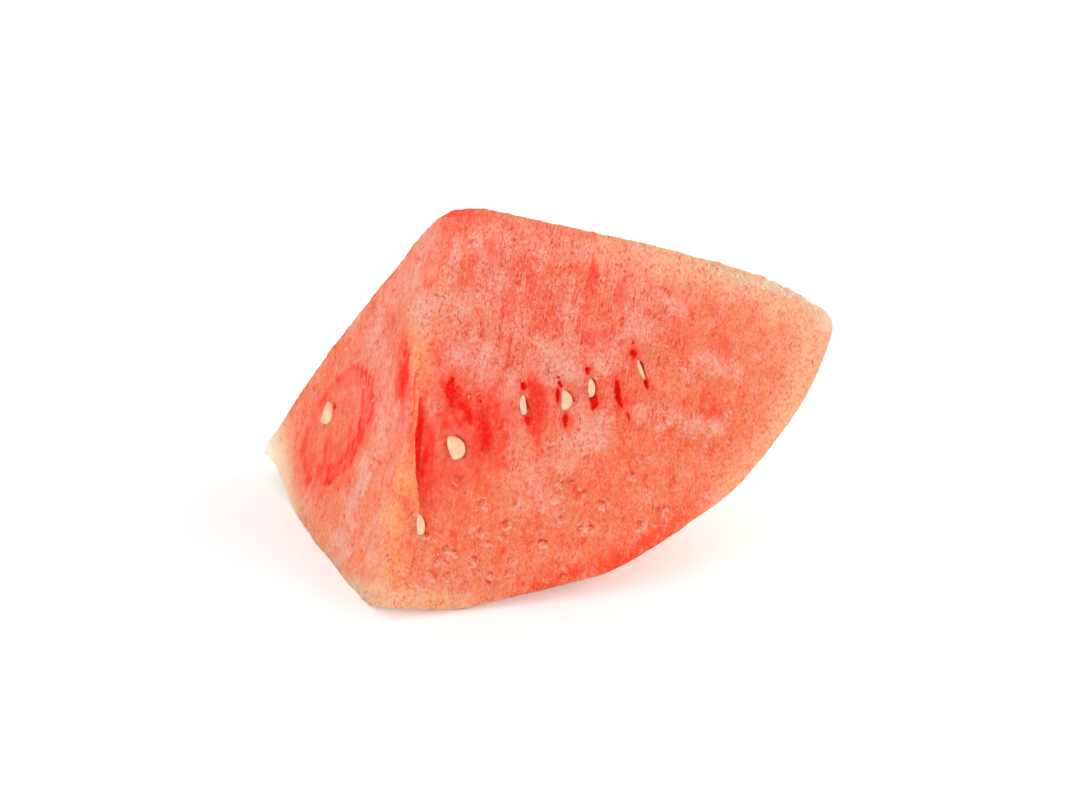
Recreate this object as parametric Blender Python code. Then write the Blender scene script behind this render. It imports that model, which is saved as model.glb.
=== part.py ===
"""Watermelon wedge: a hand-cut chunk of peeled watermelon flesh.

A ball of flesh with its rind sliced away is cut through its heart by three knife strokes, so the
wedge has three cut faces that meet at the heart and one peeled face that was under the rind.
It rests on a flat that a last stroke left on the peeled face. Metres, +Z up, front face towards -Y,
origin on the floor below the middle of the bounding box.
"""

import math

import bmesh
import bpy
from mathutils import Matrix, Vector, noise

# The ball of flesh, and how high its heart lies above the resting flat.
FLESH_RADIUS = 0.1044
HEART_HEIGHT = 0.0942

# The three strokes through the heart. Each cut face looks outwards along a turn about +Z,
# counted from +X, and a rise above the level, both in degrees.
FRONT_CUT = (-77.0, 25.0)
END_CUT = (-157.0, 19.6)
BACK_CUT = (85.0, 22.5)

# A stroke wanders, so the edges between two faces bow out by these amounts: the top edge nearer its
# tip, the side edge nearer the side corner, the end face's bottom edge nearer the foot, and the
# ridge between the front and the end nearer the heart.
TOP_EDGE_BOW = 0.0047
SIDE_EDGE_BOW = 0.0018
BOTTOM_EDGE_BOW = 0.0022
RIDGE_BOW = 0.0031

# The peeled face is made of long shallow flats: how deep the knife bit, from the foot to the tip.
PEEL_ROWS = 3
PEEL_DEPTHS = (0.0012, 0.0033, 0.0026, 0.0011, 0.0001)

# A scrap of rind was left at the side corner: how far it stands out, and the share of that corner
# in a point at which it starts.
RIND_LEFT = 0.0085
RIND_START = 0.68

# The corner at the heart is blunted: pulled in by this much, fading out over this distance.
HEART_PULL = 0.0018
HEART_ROUND = 0.0085

# The ridge between the front and the end is rounded in passes, each ending higher above the foot.
RIDGE_PASSES = 3
RIDGE_PASS_STEP = 0.006

# The front face is sunk beside the ridge, where the flesh parted along the seeds' seam.
GROOVE_DEPTH = 0.0022
GROOVE_HALF_WIDTH = 0.0075
GROOVE_HALF_LENGTH = 0.022
GROOVE_FROM_HEART = 0.063

# The surface is uneven in two sizes of swell: height, length, and where in the noise each starts.
SWELLS = ((0.0007, 0.034, 3.0), (0.0004, 0.011, 11.0))

# How many times each edge of the first block is divided.
DIVISIONS = 30

FLESH_COLOUR = (0.90, 0.205, 0.115, 1.0)
FLESH_ROUGHNESS = 0.38
SHARP_ANGLE = math.radians(35.0)


def outward(cut):
    """Unit normal of a cut face from its turn and rise in degrees."""
    turn, rise = (math.radians(angle) for angle in cut)
    level = math.cos(rise)
    return Vector((level * math.cos(turn), level * math.sin(turn), math.sin(rise)))


def edge_between(first, second, inside):
    """Direction from the heart along the edge that two cuts share, on the wedge's side."""
    along = first.cross(second).normalized()
    return along if along.dot(inside) > 0.0 else -along


HEART = Vector((0.0, 0.0, HEART_HEIGHT))
FRONT = outward(FRONT_CUT)
END = outward(END_CUT)
BACK = outward(BACK_CUT)
INSIDE = -(FRONT + END + BACK).normalized()
TO_TIP = edge_between(FRONT, BACK, INSIDE)
TO_FOOT = edge_between(FRONT, END, INSIDE)
TO_SIDE = edge_between(END, BACK, INSIDE)


def clear_scene():
    for item in list(bpy.data.objects):
        bpy.data.objects.remove(item, do_unlink=True)


def four_sided_block():
    """A cone with three sides, evenly divided, and its corners from the top one round."""
    block = bmesh.new()
    bmesh.ops.create_cone(block, cap_ends=True, segments=3, radius1=1.0, radius2=0.0, depth=1.0)
    bmesh.ops.remove_doubles(block, verts=block.verts, dist=1e-5)
    corners = [vert.co.copy() for vert in sorted(block.verts, key=lambda vert: -vert.co.z)]
    bmesh.ops.subdivide_edges(block, edges=block.edges, cuts=DIVISIONS - 1, use_grid_fill=True)
    bmesh.ops.triangulate(block, faces=block.faces)
    return block, corners


def shares_from(corners):
    """A matrix that turns a point of the block into its shares of the four corners."""
    rows = [[corner[axis] for corner in corners] for axis in range(3)]
    rows.append([1.0] * 4)
    return Matrix(rows).inverted()


def peel_strokes():
    """Middle direction and distance of each of the knife's flats, in rows that run to the tip."""
    strokes = []
    for row in range(PEEL_ROWS):
        low = TO_FOOT.lerp(TO_SIDE, row / (PEEL_ROWS - 1))
        for step, depth in enumerate(PEEL_DEPTHS):
            along = (step + 0.5) / len(PEEL_DEPTHS)
            strokes.append((low.lerp(TO_TIP, along).normalized(), FLESH_RADIUS - depth))
    return strokes


def peeled_radius(aim, strokes):
    """Distance from the heart to the peeled face: the ball, or the nearest flat inside it."""
    flats = [distance / aim.dot(middle) for middle, distance in strokes if aim.dot(middle) > 0.5]
    return min([FLESH_RADIUS] + flats)


def bow(far, near):
    """How far an edge bows: 1 at two thirds of the way to its near corner, 0 at both corners."""
    return 27.0 / 4.0 * far * near * near


def faded(distance, reach):
    """1 at no distance, falling smoothly to 0 at the reach."""
    return max(1.0 - distance / reach, 0.0) ** 2


def cut_point(of_heart, of_tip, of_foot, of_side, strokes):
    """Where the knife leaves a point that has these shares of the four corners."""
    aim = TO_TIP * of_tip + TO_FOOT * of_foot + TO_SIDE * of_side
    aim = aim.normalized() if aim.length > 0.0 else TO_FOOT
    reach = peeled_radius(aim, strokes)
    reach += RIND_LEFT * faded(1.0 - of_side, 1.0 - RIND_START)
    point = HEART + aim * ((1.0 - of_heart) * reach)
    point += (FRONT + BACK).normalized() * (TOP_EDGE_BOW * bow(of_heart, of_tip))
    point += (END + BACK).normalized() * (SIDE_EDGE_BOW * bow(of_heart, of_side))
    point += END * (BOTTOM_EDGE_BOW * bow(of_side, of_foot))
    point += (END - FRONT * END.dot(FRONT)).normalized() * (RIDGE_BOW * bow(of_foot, of_heart))
    point += INSIDE * (HEART_PULL * faded((point - HEART).length, HEART_ROUND))
    return point


def groove_depth(point):
    """How far the front face is sunk at a point beside the ridge."""
    from_heart = (point - HEART).length
    from_ridge = (point - HEART).cross(TO_FOOT).length
    along = abs(from_heart - GROOVE_FROM_HEART) / GROOVE_HALF_LENGTH
    across = abs(from_ridge - GROOVE_HALF_WIDTH) / GROOVE_HALF_WIDTH
    if along >= 1.0 or across >= 1.0:
        return 0.0
    return GROOVE_DEPTH * (1.0 - along * along) * (1.0 - across * across)


def swell(point):
    """The surface's unevenness at a point: smooth, and the same each time."""
    total = 0.0
    for height, length, start in SWELLS:
        total += height * noise.noise(point / length + Vector((start, start, start)))
    return total


def soften(mesh, chosen):
    """Rounds an edge by pulling its vertices half way towards the middle of their neighbours."""
    bmesh.ops.smooth_vert(
        mesh, verts=chosen, factor=0.5, use_axis_x=True, use_axis_y=True, use_axis_z=True
    )


def cut_wedge():
    """The whole wedge, still with the round underside that the resting flat is cut from."""
    mesh, corners = four_sided_block()
    shares_of = shares_from(corners)
    strokes = peel_strokes()
    half_step = 0.5 / DIVISIONS
    ridge = []
    for vert in mesh.verts:
        of_heart, of_tip, of_foot, of_side = shares_of @ vert.co.to_4d()
        point = cut_point(of_heart, of_tip, of_foot, of_side, strokes)
        on_peel = of_heart < half_step
        on_end = of_tip < half_step
        on_back = of_foot < half_step
        on_front = of_side < half_step
        if on_front and not on_peel:
            point -= FRONT * groove_depth(point)
        aim = (point - HEART).normalized()
        outwards = FRONT * on_front + END * on_end + BACK * on_back + aim * on_peel
        vert.co = point + outwards.normalized() * swell(point)
        if on_front and on_end:
            ridge.append(vert)

    foot_corner = HEART + TO_FOOT * FLESH_RADIUS
    for number in range(RIDGE_PASSES):
        kept = RIDGE_PASS_STEP * (number + 1)
        soften(mesh, [vert for vert in ridge if (vert.co - foot_corner).length > kept])
    return mesh


def leave_resting_flat(mesh):
    """The last stroke: all that lies below the floor's level is cut away and the cut closed."""
    cut = bmesh.ops.bisect_plane(
        mesh,
        geom=mesh.verts[:] + mesh.edges[:] + mesh.faces[:],
        dist=1e-6,
        plane_co=(0.0, 0.0, 0.0),
        plane_no=(0.0, 0.0, -1.0),
        clear_outer=True,
    )
    rim = [item for item in cut["geom_cut"] if isinstance(item, bmesh.types.BMEdge)]
    filled = bmesh.ops.edgeloop_fill(mesh, edges=rim)
    bmesh.ops.triangulate(mesh, faces=filled["faces"])
    bmesh.ops.recalc_face_normals(mesh, faces=mesh.faces)


def centre_over_origin(mesh):
    """Moves the wedge level, until the middle of its bounding box is over the origin."""
    for axis in range(2):
        reach = [vert.co[axis] for vert in mesh.verts]
        middle = (min(reach) + max(reach)) / 2.0
        for vert in mesh.verts:
            vert.co[axis] -= middle


def flesh_material():
    material = bpy.data.materials.new("watermelon_flesh")
    material.use_nodes = True
    shader = material.node_tree.nodes["Principled BSDF"]
    shader.inputs["Base Color"].default_value = FLESH_COLOUR
    shader.inputs["Roughness"].default_value = FLESH_ROUGHNESS
    shader.inputs["Metallic"].default_value = 0.0
    return material


def main():
    clear_scene()
    part = bpy.data.collections.new("watermelon_wedge")
    bpy.context.scene.collection.children.link(part)

    mesh = cut_wedge()
    leave_resting_flat(mesh)
    centre_over_origin(mesh)

    flesh = bpy.data.meshes.new("flesh")
    mesh.to_mesh(flesh)
    mesh.free()
    flesh.materials.append(flesh_material())
    flesh.shade_smooth()
    flesh.set_sharp_from_angle(angle=SHARP_ANGLE)
    part.objects.link(bpy.data.objects.new("flesh", flesh))


main()
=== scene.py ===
import math
import random

import bmesh
import bpy
import numpy as np
from mathutils import Matrix, Vector, noise
from mathutils.bvhtree import BVHTree
from mathutils.kdtree import KDTree


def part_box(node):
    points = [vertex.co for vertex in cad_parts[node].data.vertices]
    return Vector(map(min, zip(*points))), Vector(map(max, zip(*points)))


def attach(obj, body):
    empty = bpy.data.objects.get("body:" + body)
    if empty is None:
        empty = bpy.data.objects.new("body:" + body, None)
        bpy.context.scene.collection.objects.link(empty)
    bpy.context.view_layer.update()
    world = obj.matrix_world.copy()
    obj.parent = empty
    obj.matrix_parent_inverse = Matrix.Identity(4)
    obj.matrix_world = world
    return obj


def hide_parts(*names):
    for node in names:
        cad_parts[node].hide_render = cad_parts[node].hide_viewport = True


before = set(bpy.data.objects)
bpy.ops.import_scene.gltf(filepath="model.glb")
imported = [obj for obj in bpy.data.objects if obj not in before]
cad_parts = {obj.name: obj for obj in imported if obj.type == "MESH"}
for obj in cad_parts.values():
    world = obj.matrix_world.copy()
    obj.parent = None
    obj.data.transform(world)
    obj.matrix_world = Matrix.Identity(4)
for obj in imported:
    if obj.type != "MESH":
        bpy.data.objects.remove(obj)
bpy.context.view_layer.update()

# ---------------------------------------------------------------------------------------------
# The wedge, its heart and its cut faces.
# Three strokes through the heart of a peeled melon left a front, an end and a back, which meet at
# the heart. The peeled face below them lay under the rind. Each cut face has two rulers in
# millimetres: down from the heart along one of its edges, and across from that edge.
MM = 0.001
FLESH_RADIUS = 104.4 * MM
HEART_HEIGHT = 94.2 * MM
HEART_IN_BOX = (52.69 * MM, 47.01 * MM)
FRONT_CUT = (-77.0, 25.0)
END_CUT = (-157.0, 19.6)
BACK_CUT = (85.0, 22.5)

low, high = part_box("flesh")
HEART = Vector((low.x + HEART_IN_BOX[0], low.y + HEART_IN_BOX[1], low.z + HEART_HEIGHT))
RADIUS_IN_MM = FLESH_RADIUS / MM


def outward(cut):
    """Where a cut face looks, from its turn about the upright and its rise, in degrees."""
    turn, rise = (math.radians(angle) for angle in cut)
    return Vector((math.cos(rise) * math.cos(turn), math.cos(rise) * math.sin(turn), math.sin(rise)))


def edge_between(first, second, away):
    """Along the edge that two cut faces share, from the heart and away from the third face."""
    along = first.cross(second).normalized()
    return -along if along.dot(away) > 0.0 else along


FRONT, END, BACK = outward(FRONT_CUT), outward(END_CUT), outward(BACK_CUT)
TO_TIP = edge_between(FRONT, BACK, END)
TO_FOOT = edge_between(FRONT, END, BACK)
TO_SIDE = edge_between(END, BACK, FRONT)


class Face:
    """A cut face: where it looks, and its rulers down one edge and across towards the other."""

    def __init__(self, looks, down, other):
        self.looks = looks
        self.down = down
        self.across = (other - down * other.dot(down)).normalized()

    def point(self, down, across):
        """The point of the face's plane at these rulers' marks, in millimetres."""
        return HEART + (self.down * down + self.across * across) * MM

    def marks(self, points):
        """The rulers' marks of an array of points, in millimetres."""
        away = (points - np.array(HEART)) / MM
        return away @ np.array(self.down), away @ np.array(self.across)


front = Face(FRONT, TO_FOOT, TO_TIP)
end = Face(END, TO_FOOT, TO_SIDE)
back = Face(BACK, TO_SIDE, TO_TIP)
CUT_FACES = (front, end, back)
RIDGE_BOW = 3.1


def ridge_across(down):
    """Where the ridge lies across the front: it bows to the end, most a third of the way down."""
    share = down / RADIUS_IN_MM
    return -RIDGE_BOW * 27.0 / 4.0 * share * (1.0 - share) ** 2


# ---------------------------------------------------------------------------------------------
# The flesh's fine mesh.
# Ripe flesh is a mass of small juice cells, so its skinless surface is soft to the eye. The plain
# solid is divided, its facets are eased, and it is divided again where seeds and slits lie.
CREASE = math.radians(24.0)
FLAT_LEVEL = 0.01 * MM
SAME_PLACE = 0.01 * MM
CLEAR_ABOVE = 20.0 * MM
RIND_LEFT = 8.5 * MM

# Each time the mesh is divided: cuts in an edge, then passes over its facets and its creases.
FIRST_CUTS = 1
SECOND_CUTS = 2
FIRST_EASING = (2, 10)
SECOND_EASING = (2, 6)

# How far from the ridge and the three corners the rounding reaches, in millimetres. On the ridge
# it is strongest at one mark down from the heart, and its first passes take in all of its length.
ROUNDING_PASSES = 10
RIDGE_REACH = 9.0
RIDGE_ROUNDEST = 26.0
RIDGE_FADE = 30.0
WHOLE_RIDGE = (2.0, 96.0)
WHOLE_RIDGE_REACH = 2.2
WHOLE_RIDGE_PASSES = 2
NOSE_REACH = 5.5
TIP_REACH = 2.2
SIDE_REACH = 1.7


def soften(mesh, chosen):
    """Pulls each of these vertices half way to the middle of its neighbours."""
    bmesh.ops.smooth_vert(
        mesh, verts=chosen, factor=0.5, use_axis_x=True, use_axis_y=True, use_axis_z=True
    )


def divide(mesh, edges, cuts):
    """Cuts these edges into equal lengths, and leaves only triangles."""
    bmesh.ops.subdivide_edges(mesh, edges=edges, cuts=cuts, use_grid_fill=True)
    bmesh.ops.triangulate(mesh, faces=[face for face in mesh.faces if len(face.verts) > 3])


def ease(mesh, passes, crease_passes):
    """Softens the facets, and the bends along the edges that the knife left, but not the edges."""
    creases = {}
    for edge in mesh.edges:
        if edge.calc_face_angle(0.0) > CREASE:
            for vert in edge.verts:
                creases.setdefault(vert, []).append(edge.other_vert(vert))
    free = [vert for vert in mesh.verts if vert not in creases and vert.co.z > FLAT_LEVEL]
    bends = [
        (vert, ends) for vert, ends in creases.items() if len(ends) == 2 and vert.co.z > FLAT_LEVEL
    ]
    for _ in range(passes):
        soften(mesh, free)
    for _ in range(crease_passes):
        moved = [(vert, vert.co.lerp((ends[0].co + ends[1].co) / 2.0, 0.5)) for vert, ends in bends]
        for vert, place in moved:
            vert.co = place


def round_ridge_and_corners(mesh):
    """Rounds the corners, and the ridge most in its upper half, where the knife rocked."""
    tip = TO_TIP * RADIUS_IN_MM
    side = TO_SIDE * ((FLESH_RADIUS + RIND_LEFT) / MM)
    for number in range(ROUNDING_PASSES):
        share = 1.0 - number / ROUNDING_PASSES
        chosen = []
        for vert in mesh.verts:
            away = (vert.co - HEART) / MM
            down = away.dot(front.down)
            crest = front.down * down + front.across * ridge_across(down)
            reach = RIDGE_REACH * share * max(0.0, 1.0 - abs(down - RIDGE_ROUNDEST) / RIDGE_FADE)
            if number < WHOLE_RIDGE_PASSES and WHOLE_RIDGE[0] < down < WHOLE_RIDGE[1]:
                reach = max(reach, WHOLE_RIDGE_REACH)
            at_ridge = (away - crest).length < reach
            at_nose = away.length < NOSE_REACH * share
            at_tip = (away - tip).length < TIP_REACH * share
            at_side = (away - side).length < SIDE_REACH * share
            if at_ridge or at_nose or at_tip or at_side:
                chosen.append(vert)
        soften(mesh, chosen)


def nearest_of(places):
    """A tree that finds the nearest of these places."""
    tree = KDTree(len(places))
    for number, place in enumerate(places):
        tree.insert(place, number)
    tree.balance()
    return tree


def divide_near(mesh, places, reach):
    """Halves the mesh's edges wherever both ends lie within reach of one of the places."""
    tree = nearest_of(places)
    near = {vert for vert in mesh.verts if tree.find(vert.co)[2] < reach}
    within = [edge for edge in mesh.edges if edge.verts[0] in near and edge.verts[1] in near]
    divide(mesh, within, 1)


flesh_mesh = bmesh.new()
flesh_mesh.from_mesh(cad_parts["flesh"].data)
bmesh.ops.remove_doubles(flesh_mesh, verts=flesh_mesh.verts, dist=SAME_PLACE)
divide(flesh_mesh, flesh_mesh.edges, FIRST_CUTS)
round_ridge_and_corners(flesh_mesh)
ease(flesh_mesh, *FIRST_EASING)
divide(flesh_mesh, flesh_mesh.edges, SECOND_CUTS)
ease(flesh_mesh, *SECOND_EASING)
even_verts = len(flesh_mesh.verts)
even_surface = BVHTree.FromBMesh(flesh_mesh)


def look_down(skin, face, down, across):
    """The point of a surface below these marks of a cut face's rulers, and its normal."""
    above = face.point(down, across) + face.looks * CLEAR_ABOVE
    return skin.ray_cast(above, -face.looks)[:2]


def on_surface(face, down, across):
    """The point of the even flesh at these marks of a cut face's rulers."""
    return look_down(even_surface, face, down, across)[0]


# Where the seeds lie: face, marks down and across, lean from straight down towards across in
# degrees, length, width, thickness, roll about the length in degrees, how deep it is sunk, and bend.
SEEDS = (
    (front, 82.0, 4.2, 12.0, 5.4, 2.2, 1.5, 8.0, 0.1, 0.25),
    (front, 61.4, 10.2, 32.0, 6.3, 4.3, 2.4, 6.0, -0.45, 0.3),
    (front, 48.3, 25.6, 12.0, 5.0, 2.3, 1.2, 40.0, 0.15, -0.4),
    (front, 45.4, 36.2, 10.0, 5.2, 2.9, 1.7, 16.0, 0.1, 0.55),
    (front, 41.3, 42.2, 10.0, 4.9, 2.2, 1.4, 40.0, 0.25, 0.35),
    (front, 34.8, 54.2, 27.0, 5.3, 1.6, 1.0, 50.0, 0.3, -0.3),
    (end, 56.5, 51.0, 8.0, 6.0, 4.3, 1.9, -34.0, -0.2, 0.5),
    (back, 58.0, 14.0, 8.0, 6.2, 4.2, 1.8, 14.0, 0.3, 0.4),
    (back, 52.0, 27.5, 30.0, 5.4, 3.2, 1.4, 58.0, 0.75, 0.2),
    (back, 38.5, 44.0, 44.0, 6.0, 3.6, 1.6, 24.0, 0.4, 0.3),
    (back, 27.0, 52.5, 62.0, 5.2, 3.0, 1.4, 62.0, 0.8, 0.2),
    (back, 4.0, 60.5, 84.0, 6.2, 4.3, 1.8, 12.0, 0.3, 0.4),
)

# Slits and holes that fallen seeds and torn threads left: face, marks down and across, lean,
# half length, half width and depth.
SLITS = (
    (front, 43.5, 25.3, 8.0, 1.3, 1.0, 1.5),
    (front, 51.5, 26.8, 10.0, 1.3, 0.5, 1.0),
    (front, 41.6, 34.4, 20.0, 1.3, 0.65, 1.5),
    (front, 40.0, 33.7, 0.0, 0.45, 0.4, 0.8),
    (front, 44.6, 34.2, 8.0, 2.5, 0.65, 1.0),
    (front, 50.0, 37.0, 5.0, 2.2, 1.05, 1.6),
    (front, 37.3, 40.8, 12.0, 1.2, 0.8, 1.5),
    (front, 44.5, 43.6, 6.0, 2.8, 1.25, 1.9),
    (front, 41.1, 49.3, 18.0, 4.1, 0.85, 1.7),
    (front, 43.6, 50.2, 24.0, 2.2, 1.05, 1.5),
    (front, 47.0, 52.9, 26.0, 1.5, 0.35, 0.9),
    (front, 31.1, 51.9, 10.0, 1.9, 1.2, 1.7),
    (front, 28.4, 51.3, 10.0, 1.0, 0.35, 0.9),
    (front, 38.2, 56.4, 20.0, 1.8, 0.75, 1.6),
    (front, 45.0, 7.0, 10.0, 1.5, 0.8, 1.2),
    (front, 46.6, 8.6, 10.0, 0.9, 0.6, 1.1),
    (front, 49.1, 14.9, 20.0, 0.6, 0.45, 0.9),
    (end, 54.6, 48.3, -10.0, 1.4, 1.3, 1.2),
    (back, 46.0, 36.5, 38.0, 3.4, 0.8, 1.9),
    (back, 54.0, 8.5, 6.0, 1.4, 0.8, 1.5),
    (back, 15.5, 58.5, 76.0, 3.8, 0.8, 2.0),
    (back, -6.0, 61.5, 92.0, 1.4, 0.7, 1.4),
)

# Hollows where the flesh parted along the seeds' seam, smooth and deep red: values as for slits.
HOLLOWS = (
    (front, 48.6, 7.6, 14.0, 4.8, 2.7, 1.1),
    (front, 52.0, 11.4, 42.0, 5.6, 2.3, 1.1),
    (front, 56.4, 17.0, 16.0, 7.6, 2.7, 1.4),
    (front, 47.2, 28.8, 8.0, 8.0, 2.7, 0.75),
    (front, 51.8, 27.6, 10.0, 3.0, 1.8, 1.1),
    (end, 43.5, 8.0, -12.0, 9.0, 4.0, 0.5),
    (end, 31.5, 20.5, -66.0, 4.5, 1.8, 0.3),
    (back, 55.5, 20.5, 20.0, 7.0, 3.0, 1.4),
    (back, 33.0, 49.0, 50.0, 5.0, 2.6, 1.3),
    (back, 9.0, 60.5, 80.0, 6.0, 2.4, 1.1),
)

# Where the knife dragged: face, marks down and across, spread, and how many shreds stand there.
SHRED_CLUSTERS = (
    (front, 66.6, 38.4, 1.5, 4),
    (front, 70.0, 49.4, 1.8, 5),
    (front, 73.6, 60.5, 1.6, 4),
    (front, 74.7, 18.8, 2.0, 4),
    (front, 78.7, 25.9, 2.2, 5),
    (front, 75.4, 39.7, 2.0, 5),
    (front, 88.7, 18.4, 1.2, 4),
    (front, 93.8, 12.8, 1.2, 4),
    (front, 87.5, 28.6, 1.6, 3),
    (front, 90.2, 9.6, 1.6, 3),
    (front, 76.9, 45.2, 2.0, 5),
    (front, 82.0, 36.0, 3.0, 6),
    (front, 89.8, 42.6, 1.0, 4),
    (front, 62.0, 56.0, 3.0, 5),
    (front, 54.5, 38.5, 1.4, 5),
    (front, 47.0, 68.0, 4.0, 12),
    (front, 50.5, 74.0, 3.0, 8),
    (front, 43.0, 80.0, 3.0, 6),
    (front, 30.0, 62.0, 3.0, 6),
    (front, 18.5, 60.5, 2.0, 4),
    (front, 20.0, 20.0, 8.0, 8),
    (front, 46.0, 12.5, 2.4, 6),
    (front, 26.0, 88.0, 6.0, 6),
    (front, 10.0, 15.0, 2.0, 4),
    (end, 26.0, 6.5, 1.6, 5),
    (end, 66.0, 22.0, 3.0, 14),
    (end, 74.0, 27.0, 3.6, 16),
    (end, 80.0, 33.0, 3.6, 12),
    (end, 47.0, 30.0, 2.6, 4),
    (end, 86.0, 52.0, 4.0, 6),
    (end, 52.0, 22.0, 2.0, 4),
    (end, 38.0, 32.0, 3.0, 4),
    (back, 60.0, 30.0, 14.0, 30),
    (back, 25.0, 45.0, 14.0, 26),
    (back, 5.0, 70.0, 12.0, 16),
)
TORN_BELOW = 58.0

# The groove beside the ridge. A seam of the flesh parted here, and the flesh on its end side hangs
# over the groove like a lip. The seam bends away from the ridge as it runs down.
SEAM_DOWN = (49.5, 80.5)
SEAM_NEAREST_RIDGE = (53.0, -1.0)
SEAM_BEND = 0.0066
SEAM_POINTS = 19
INTO_GROOVE = 0.4

# How near these places the mesh is divided again.
ROUND_ALL = 4.2 * MM
ROUND_SEEDS = 2.6 * MM
ROUND_SEAM = 1.7 * MM
ROUND_TORN = 2.4 * MM


def seam_across(down):
    """How far across the front the seam lies at a mark down from the heart."""
    return SEAM_NEAREST_RIDGE[1] + SEAM_BEND * (down - SEAM_NEAREST_RIDGE[0]) ** 2


seed_places = [on_surface(*row[:3]) for row in SEEDS + SLITS]
seam_places = [
    on_surface(front, down, seam_across(down) + INTO_GROOVE)
    for down in np.linspace(*SEAM_DOWN, SEAM_POINTS)
]
torn_places = [
    on_surface(*row[:3]) for row in SHRED_CLUSTERS if row[0] is front and row[1] > TORN_BELOW
]
divide_near(flesh_mesh, seed_places + seam_places, ROUND_ALL)
divide_near(flesh_mesh, seed_places, ROUND_SEEDS)
divide_near(flesh_mesh, seam_places, ROUND_SEAM)
divide_near(flesh_mesh, torn_places, ROUND_TORN)

# ---------------------------------------------------------------------------------------------
# The flesh's relief.
# Juice cells stand out as grain, threads run down from the heart, the knife tore small flakes
# out, and seeds leave smooth pockets. Each is a small move of the surface in or out.
GROOVE_WIDTH = 9.0
GROOVE_DEPTH = 1.3
LIP_REACH = 0.6
LIP_HEIGHT = 0.3

# Unevenness of several sizes: height and size in millimetres, and where in the noise each starts.
GRAIN = ((0.15, 6.0, 3.1), (0.16, 2.6, 7.7), (0.13, 1.25, 12.3))
SEAM_WAVES = ((0.55, 5.0, 61.0), (0.25, 1.7, 63.0))
NUBS = ((0.75, 1.9, 47.0), (0.45, 4.5, 49.0))
OUTLINE_WAVES = ((0.42, 5.5, 31.0), (0.30, 2.0, 33.0))

# Threads raised in the grain: height, length, width and start.
THREAD_GRAIN = (0.15, 14.0, 2.0, 21.9)

# Torn pits, which grow common between these marks down the front.
TORN_PITS = 240
TEARS_CROWD = (45.0, 68.0)
TEAR_REACH = 0.80 * MM
TEAR_DEPTH = 0.38 * MM
LISTED_TEAR_REACH = 0.95 * MM
LISTED_TEAR_DEPTH = 1.2 * TEAR_DEPTH

flesh_mesh.normal_update()
flesh_mesh.verts.ensure_lookup_table()
points = np.array([vert.co for vert in flesh_mesh.verts])
normals = np.array([vert.normal for vert in flesh_mesh.verts])


def grain(places, size, start):
    """Smooth noise with lumps of about this size in metres, from -1 to 1."""
    shifted = places / size + start
    return np.array([noise.noise(place) for place in shifted])


def grains(rows):
    """The sum of several sizes of unevenness at each vertex, in millimetres."""
    return sum(height * grain(points, size * MM, start) for height, size, start in rows)


def threads(length, width, start):
    """Noise drawn out down the ridge, like the threads in the flesh: sizes in millimetres."""
    run = points @ np.array(TO_FOOT)
    flat = points - np.outer(run, np.array(TO_FOOT))
    drawn_out = np.outer(run / (length * MM), np.array(TO_FOOT))
    return grain(flat / (width * MM) + drawn_out, 1.0, start)


def smooth_step(values, start, stop):
    """0 before start, 1 after stop, and a soft rise between them."""
    share = np.clip((values - start) / (stop - start), 0.0, 1.0)
    return share * share * (3.0 - 2.0 * share)


def stretch(values, start, full, fading, gone):
    """0 before start, 1 from full to fading, and 0 again after gone, with soft slopes."""
    return smooth_step(values, start, full) * (1.0 - smooth_step(values, fading, gone))


def bell(values, middle, width):
    """1 at the middle, falling softly to both sides."""
    return np.exp(-((values - middle) / width) ** 2)


def share_of_faces():
    """How much each vertex belongs to the front, the end, the back and the peeled face."""
    away = points - np.array(HEART)
    inside = [-(away @ np.array(face.looks)) for face in CUT_FACES]
    inside.append(FLESH_RADIUS - np.linalg.norm(away, axis=1))
    inside = np.array(inside)
    weights = np.exp(-(inside - inside.min(axis=0)) / (0.7 * MM))
    return weights / weights.sum(axis=0)


def local_marks(face, down, across, lean):
    """Marks along and across a leaning feature, from its middle, in millimetres."""
    over_down, over_across = face.marks(points)
    turn = math.radians(lean)
    from_down = over_down - down
    from_across = over_across - across
    along = from_down * math.cos(turn) + from_across * math.sin(turn)
    aside = from_across * math.cos(turn) - from_down * math.sin(turn)
    return along, aside


of_front, of_end, of_back, of_peel = share_of_faces()
share_of = {front: of_front, end: of_end, back: of_back}
beside_ridge = of_front + of_end > 0.4
from_heart = np.linalg.norm(points - np.array(HEART), axis=1) / MM
front_down, front_across = front.marks(points)
end_across = end.marks(points)[1]

sink = np.zeros(len(points))
deep = np.zeros(len(points))
# The next mark is painted shade: dark maroon painted in seed pockets, on slit walls, on the uphill
# sides of torn pits and along a line under the lip.
painted_shade = np.zeros(len(points))
pale = np.zeros(len(points))
smooth = np.zeros(len(points))
ripple = grain(points, 1.3 * MM, 5.7)
streaks = threads(9.0, 1.3, 71.0)
tatters = grain(points, 0.6 * MM, 5.9)


def press(face, down, across, lean, half_length, half_width, depth, wall):
    """Presses an oval hollow into the flesh, and returns how far in it each vertex is, 0 to 1."""
    along, aside = local_marks(face, down, across, lean)
    narrow = 1.0 - 0.3 * np.clip(along / half_length, -1.0, 1.0)
    oval = np.sqrt((along / half_length) ** 2 + (aside / (half_width * narrow)) ** 2)
    oval += 0.3 * ripple + 0.3 * streaks + 0.25 * tatters
    inside = smooth_step(-oval, -1.0, -1.0 + wall) * (share_of[face] > 0.3)
    np.maximum(sink, inside * depth * MM, out=sink)
    return inside


for face, down, across, lean, half_length, half_width, depth in HOLLOWS:
    inside = press(face, down, across, lean, half_length, half_width, depth, 0.65)
    np.maximum(deep, min(1.0, depth / 0.9) * inside, out=deep)
    np.maximum(smooth, inside, out=smooth)
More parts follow.
